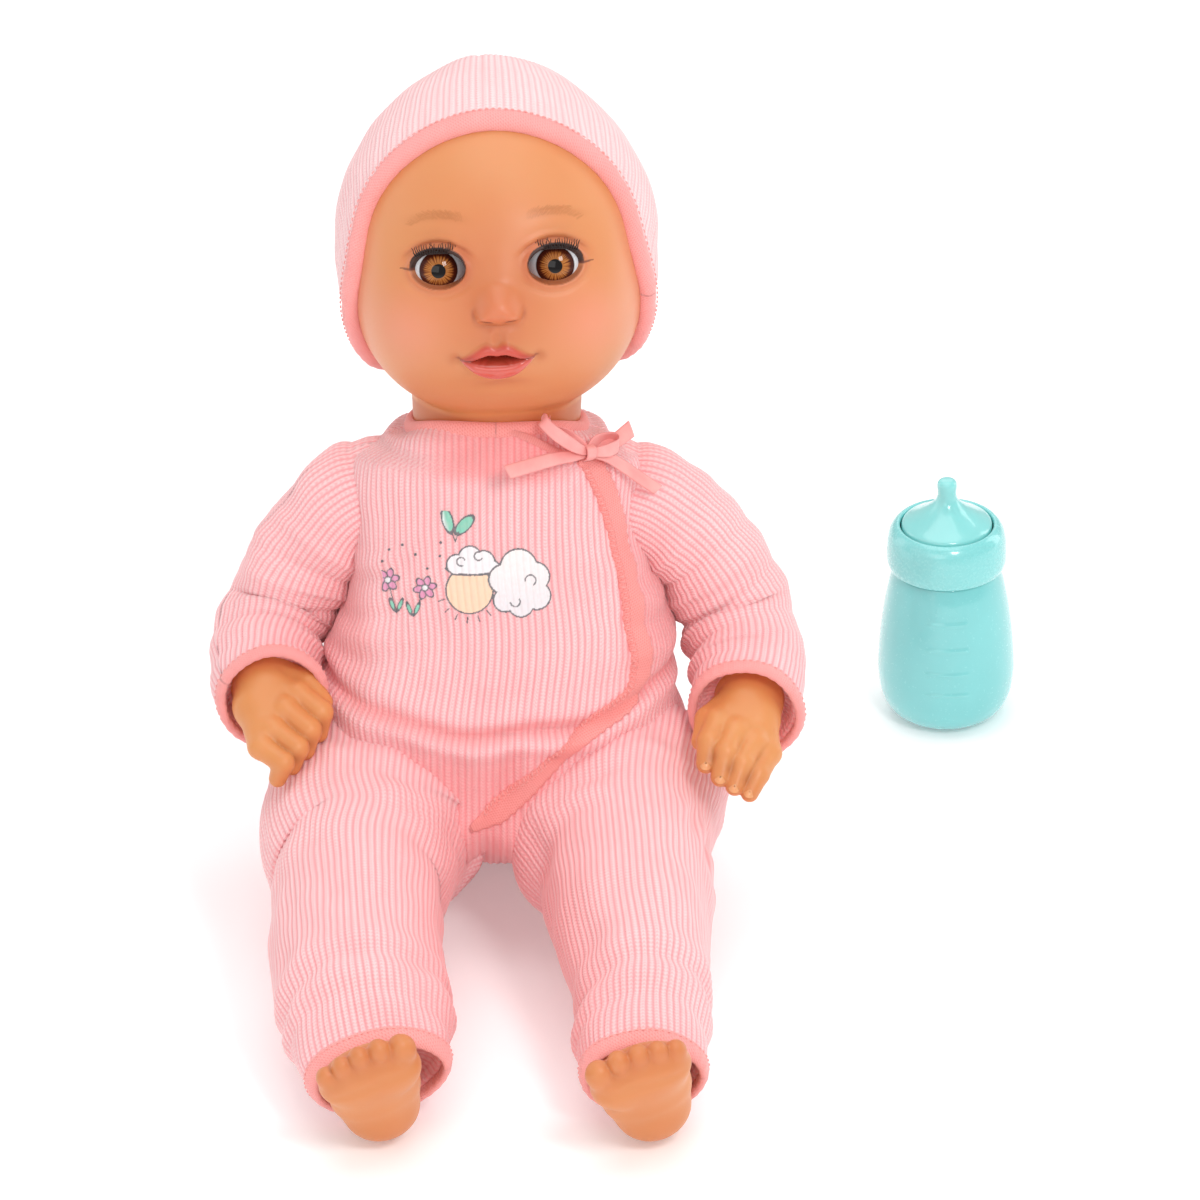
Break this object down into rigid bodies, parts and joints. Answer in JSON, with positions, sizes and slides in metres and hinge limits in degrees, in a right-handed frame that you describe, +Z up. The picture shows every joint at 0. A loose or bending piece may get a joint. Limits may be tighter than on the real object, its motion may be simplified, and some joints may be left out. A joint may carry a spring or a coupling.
{
  "type": "interactive baby doll",
  "caption": "Seated soft-bodied baby doll with sleep eyes, vinyl head, hands and feet, ribbed romper and cap, sound works in the trunk, and a toy feeding bottle.",
  "frame": {"origin": "centre of the flat underside of the seat, on the surface that the doll sits on", "axes": "+Z up, -Y the way the doll faces, +X towards the doll's left-hand side"},
  "size_m": [0.2941, 0.3585, 0.3015],
  "materials": {
    "vinyl": "matt soft vinyl",
    "knit": "ribbed cotton knit",
    "binding": "coral knit binding",
    "ribbon": "satin ribbon",
    "cloth": "stuffed woven cloth",
    "eye": "glossy, brown iris",
    "lid": "satin skin colour",
    "white_plastic": "moulded",
    "dark_plastic": "moulded",
    "steel": "plain",
    "cell": "wrapped cell",
    "board": "solder-masked board",
    "bottle": "glossy opaque teal",
    "lead_wire": "insulated lead"
  },
  "bodies": {
    "torso": {"cloth_trunk": "cloth", "romper_bodice": "knit", "collar_binding": "binding", "flap_binding": "binding", "bow_ribbon": "ribbon", "pod_case": "white_plastic", "battery_cover": "white_plastic", "cover_screw": "steel", "aa_cell_1": "cell", "aa_cell_2": "cell", "aa_cell_3": "cell", "contact_plate_top": "steel", "contact_plate_bottom": "steel", "circuit_board": "board", "sound_chip": "dark_plastic", "tilt_sensor": "steel", "speaker": "dark_plastic", "button_housing": "white_plastic", "button_spring": "steel", "button_lead": "lead_wire", "neck_ring": "white_plastic"},
    "power_switch": {"power_switch": "dark_plastic"},
    "tummy_button": {"tummy_button": "white_plastic"},
    "head": {"head_shell": "vinyl", "cap_crown": "knit", "cap_binding": "binding", "eye_housing_left": "white_plastic", "eye_housing_right": "white_plastic", "mouth_sensor": "dark_plastic"},
    "eye_left": {"eyeball_left": "eye", "upper_lid_left": "lid", "eye_weight_left": "steel"},
    "eye_right": {"eyeball_right": "eye", "upper_lid_right": "lid", "eye_weight_right": "steel"},
    "arm_left": {"cloth_upper_arm_left": "cloth", "forearm_hand_left": "vinyl", "sleeve_left": "knit", "cuff_binding_left": "binding"},
    "arm_right": {"cloth_upper_arm_right": "cloth", "forearm_hand_right": "vinyl", "sleeve_right": "knit", "cuff_binding_right": "binding"},
    "leg_left": {"cloth_thigh_left": "cloth", "lower_leg_left": "vinyl", "trouser_leg_left": "knit", "hem_binding_left": "binding"},
    "leg_right": {"cloth_thigh_right": "cloth", "lower_leg_right": "vinyl", "trouser_leg_right": "knit", "hem_binding_right": "binding"},
    "bottle": {"bottle_body": "bottle", "bottle_collar": "bottle", "bottle_teat": "bottle", "bottle_magnet": "steel"}
  },
  "joints": [
    {"name": "neck_turn", "type": "hinge", "parent": "torso", "child": "head", "pos_m": [0, 0.046, 0.177], "axis": [0, 0.2756, 0.9613], "range_deg": [-60, 60]},
    {"name": "eye_left_close", "type": "hinge", "parent": "head", "child": "eye_left", "pos_m": [0.02075, 0.02311, 0.25103], "axis": [0.999, 0.0177, 0.0398], "range_deg": [0, 50]},
    {"name": "eye_right_close", "type": "hinge", "parent": "head", "child": "eye_right", "pos_m": [-0.02041, 0.02238, 0.24939], "axis": [0.999, 0.0177, 0.0398], "range_deg": [0, 50]},
    {"name": "shoulder_left", "type": "hinge", "parent": "torso", "child": "arm_left", "pos_m": [0.0506, 0.042, 0.15], "axis": [-1, 0, 0], "range_deg": [0, 100]},
    {"name": "shoulder_right", "type": "hinge", "parent": "torso", "child": "arm_right", "pos_m": [-0.0506, 0.042, 0.15], "axis": [-1, 0, 0], "range_deg": [0, 100]},
    {"name": "hip_left", "type": "hinge", "parent": "torso", "child": "leg_left", "pos_m": [0.048, 0, 0.043], "axis": [-1, 0, 0], "range_deg": [-70, 0]},
    {"name": "hip_right", "type": "hinge", "parent": "torso", "child": "leg_right", "pos_m": [-0.048, 0, 0.043], "axis": [-1, 0, 0], "range_deg": [-70, 0]},
    {"name": "tummy_press", "type": "slide", "parent": "torso", "child": "tummy_button", "axis": [0, 0.9613, -0.2756], "range_m": [0, 0.0018], "stiffness_N_per_m": 800, "springref_m": -0.0006, "deforming": ["button_spring"]},
    {"name": "power_slide", "type": "slide", "parent": "torso", "child": "power_switch", "axis": [1, 0, 0], "range_m": [0, 0.004]},
    {"name": "bottle_lift", "type": "slide", "parent": "torso", "child": "bottle", "axis": [0, 0, 1], "range_m": [0, 0.1]}
  ],
  "couplings": [
    {"joint": "eye_right_close", "follows": "eye_left_close", "ratio": 1}
  ]
}
